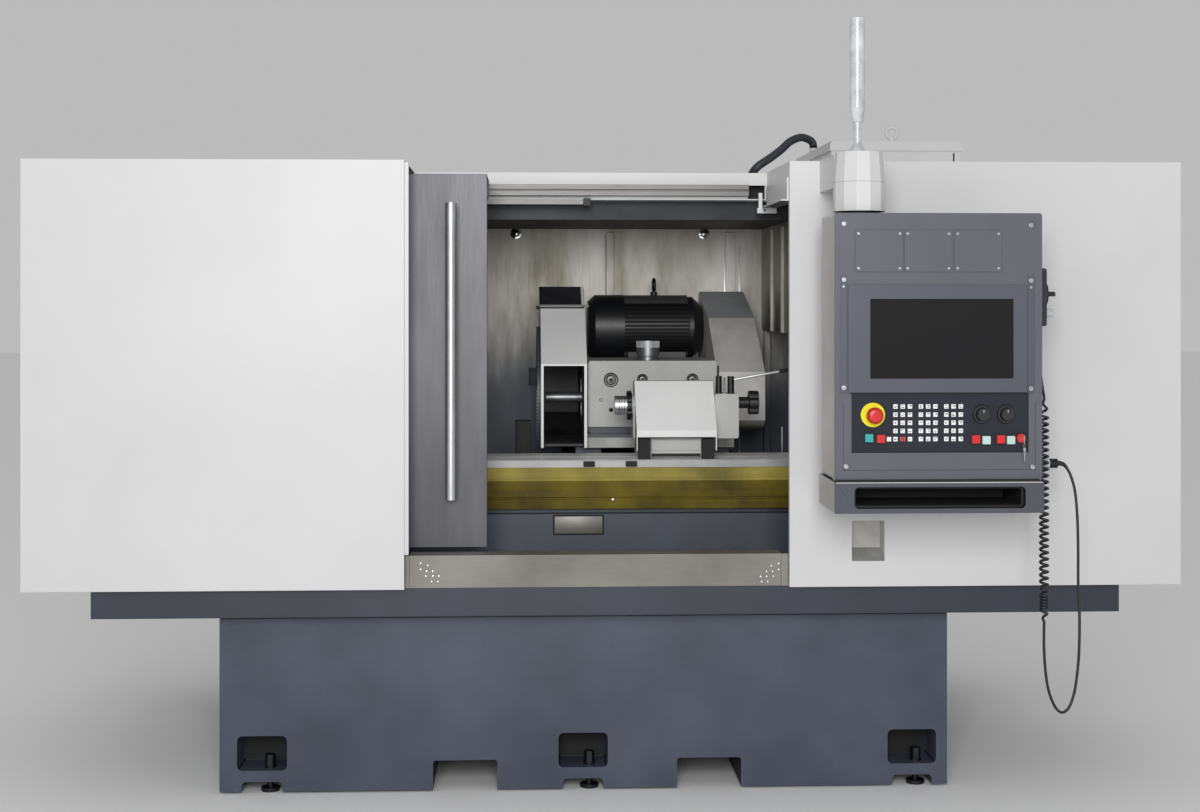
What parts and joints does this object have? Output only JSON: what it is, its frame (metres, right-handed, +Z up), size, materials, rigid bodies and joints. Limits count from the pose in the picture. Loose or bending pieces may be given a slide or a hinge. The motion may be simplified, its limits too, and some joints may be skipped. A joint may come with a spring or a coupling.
{
  "type": "cylindrical grinder",
  "caption": "Enclosed cylindrical grinding machine on a cast base, with a sliding door, traversing table, wheelhead, tailstock and a swivelling operator pendant.",
  "frame": {"origin": "on the floor, in the middle of the machine's overall length and depth", "axes": "+X to the operator's right along the table, +Y from the operator to the rear, +Z up"},
  "size_m": [3.05, 1.946, 2.018],
  "materials": {
    "cast_paint": "satin",
    "steel_dark": "satin",
    "deck_paint": "satin",
    "white_sheet": "satin",
    "stainless": "satin",
    "rail_aluminium": "satin",
    "hose_black": "matte",
    "lamp_plastic": "gloss",
    "door_steel": "satin",
    "bright_bar": "polished",
    "table_steel": "ground",
    "table_oiled": "oiled",
    "head_paint": "satin",
    "cast_grey": "matte",
    "grip_black": "matte",
    "motor_black": "satin",
    "guard_grey": "satin",
    "belt_rubber": "matte",
    "pendant_grey": "fine texture",
    "cover_grey": "fine texture",
    "screen_black": "gloss",
    "panel_grey": "matte",
    "key_white": "matte",
    "signal_yellow": "gloss",
    "signal_red": "gloss",
    "signal_teal": "gloss",
    "lamp_pale": "gloss",
    "cord_black": "matte"
  },
  "bodies": {
    "machine": {"base_casting": "cast_paint", "levelling_jacks": "steel_dark", "drip_deck": "deck_paint", "machine_bed": "cast_paint", "left_guard": "white_sheet", "right_guard": "white_sheet", "cabin_lining": "stainless", "roof_beam": "white_sheet", "door_rails": "rail_aluminium", "rail_bracket": "white_sheet", "front_sill": "stainless", "rear_cabinet": "white_sheet", "conduit_hose": "hose_black", "swivel_arm": "white_sheet", "lamp_pole": "lamp_plastic", "lamp_lenses": "lamp_plastic"},
    "door": {"sliding_door": "door_steel", "door_handle": "bright_bar", "door_carriages": "steel_dark"},
    "table": {"lower_table": "table_oiled"},
    "swivel_table": {"upper_table": "table_steel", "workhead_body": "head_paint", "tailstock_body": "cast_grey", "tailstock_cover": "white_sheet"},
    "work_spindle": {"workhead_spindle": "bright_bar"},
    "quill": {"tail_quill": "bright_bar"},
    "quill_lever": {"tail_lever": "bright_bar"},
    "pressure_knob": {"tail_knob": "grip_black"},
    "wheelhead": {"wheelhead_slide": "cast_grey", "wheelhead_casting": "head_paint", "wheel_guard": "white_sheet", "belt_guard": "guard_grey", "drive_motor": "motor_black", "drive_belt": "belt_rubber"},
    "wheel_spindle": {"wheel_spindle": "bright_bar"},
    "rotor": {"motor_rotor": "steel_dark"},
    "pendant": {"swivel_hub": "white_sheet", "pendant_case": "pendant_grey", "blank_covers": "cover_grey", "case_screws": "steel_dark", "screen_bezel": "cover_grey", "screen_glass": "screen_black", "operator_panel": "panel_grey", "membrane_keys": "key_white", "estop_ring": "signal_yellow", "tray_box": "cover_grey", "pulse_unit": "grip_black", "curly_cord": "cord_black", "unit_lead": "cord_black"},
    "estop_head": {"estop_button": "signal_red"},
    "teal_key": {"button_teal": "signal_teal"},
    "red_key": {"button_red": "signal_red"},
    "left_stop_key": {"button_stop_left": "signal_red"},
    "left_lamp_key": {"button_lamp_left": "lamp_pale"},
    "right_stop_key": {"button_stop_right": "signal_red"},
    "right_lamp_key": {"button_lamp_right": "lamp_pale"},
    "left_knob": {"knob_left": "grip_black"},
    "right_knob": {"knob_right": "grip_black"},
    "mode_key": {"switch_key": "signal_red"},
    "dial": {"pulse_dial": "grip_black"}
  },
  "joints": [
    {"name": "door_slide", "type": "slide", "parent": "machine", "child": "door", "axis": [1, 0, 0], "range_m": [0, 0.765]},
    {"name": "table_traverse", "type": "slide", "parent": "machine", "child": "table", "axis": [1, 0, 0], "range_m": [-0.42, 0.42]},
    {"name": "table_swivel", "type": "hinge", "parent": "table", "child": "swivel_table", "pos_m": [0, 0, 0.85], "axis": [0, 0, 1], "range_deg": [-2, 5]},
    {"name": "work_spin", "type": "hinge", "parent": "swivel_table", "child": "work_spindle", "pos_m": [-0.5, 0, 1.002], "axis": [1, 0, 0], "continuous": true},
    {"name": "lever_swing", "type": "hinge", "parent": "swivel_table", "child": "quill_lever", "pos_m": [0.39, -0.01, 1.05], "axis": [0, 0, -1], "range_deg": [0, 60]},
    {"name": "quill_slide", "type": "slide", "parent": "swivel_table", "child": "quill", "axis": [1, 0, 0], "range_m": [0, 0.032]},
    {"name": "pressure_turn", "type": "hinge", "parent": "swivel_table", "child": "pressure_knob", "pos_m": [0.44, 0, 1.009], "axis": [1, 0, 0], "range_deg": [-180, 180]},
    {"name": "wheelhead_infeed", "type": "slide", "parent": "machine", "child": "wheelhead", "axis": [0, -1, 0], "range_m": [0, 0.06]},
    {"name": "wheel_spin", "type": "hinge", "parent": "wheelhead", "child": "wheel_spindle", "pos_m": [0.2, 0.455, 1.002], "axis": [1, 0, 0], "continuous": true},
    {"name": "rotor_spin", "type": "hinge", "parent": "wheelhead", "child": "rotor", "pos_m": [0.4, 0.69, 1.222], "axis": [1, 0, 0], "continuous": true},
    {"name": "pendant_swivel", "type": "hinge", "parent": "machine", "child": "pendant", "pos_m": [0.614, -0.844, 1.6], "axis": [0, 0, 1], "range_deg": [-80, 12]},
    {"name": "estop_press", "type": "slide", "parent": "pendant", "child": "estop_head", "axis": [0, 1, 0], "range_m": [0, 0.006], "stiffness_N_per_m": 800, "springref_m": -0.004},
    {"name": "teal_press", "type": "slide", "parent": "pendant", "child": "teal_key", "axis": [0, 1, 0], "range_m": [0, 0.004], "stiffness_N_per_m": 300, "springref_m": -0.004},
    {"name": "red_press", "type": "slide", "parent": "pendant", "child": "red_key", "axis": [0, 1, 0], "range_m": [0, 0.004], "stiffness_N_per_m": 300, "springref_m": -0.004},
    {"name": "left_stop_press", "type": "slide", "parent": "pendant", "child": "left_stop_key", "axis": [0, 1, 0], "range_m": [0, 0.004], "stiffness_N_per_m": 300, "springref_m": -0.004},
    {"name": "left_lamp_press", "type": "slide", "parent": "pendant", "child": "left_lamp_key", "axis": [0, 1, 0], "range_m": [0, 0.004], "stiffness_N_per_m": 300, "springref_m": -0.004},
    {"name": "right_stop_press", "type": "slide", "parent": "pendant", "child": "right_stop_key", "axis": [0, 1, 0], "range_m": [0, 0.004], "stiffness_N_per_m": 300, "springref_m": -0.004},
    {"name": "right_lamp_press", "type": "slide", "parent": "pendant", "child": "right_lamp_key", "axis": [0, 1, 0], "range_m": [0, 0.004], "stiffness_N_per_m": 300, "springref_m": -0.004},
    {"name": "left_knob_turn", "type": "hinge", "parent": "pendant", "child": "left_knob", "pos_m": [0.902, -0.94, 1.032], "axis": [0, -1, 0], "range_deg": [-135, 135]},
    {"name": "right_knob_turn", "type": "hinge", "parent": "pendant", "child": "right_knob", "pos_m": [0.962, -0.94, 1.032], "axis": [0, -1, 0], "range_deg": [-135, 135]},
    {"name": "key_turn", "type": "hinge", "parent": "pendant", "child": "mode_key", "pos_m": [0.998, -0.94, 0.973], "axis": [0, 1, 0], "range_deg": [0, 90]},
    {"name": "dial_turn", "type": "hinge", "parent": "pendant", "child": "dial", "pos_m": [1.098, -0.844, 1.328], "axis": [1, 0, 0], "continuous": true}
  ],
  "couplings": [
    {"joint": "quill_slide", "follows": "lever_swing", "m_per_rad": 0.03},
    {"joint": "rotor_spin", "follows": "wheel_spin", "ratio": 1.2727}
  ]
}
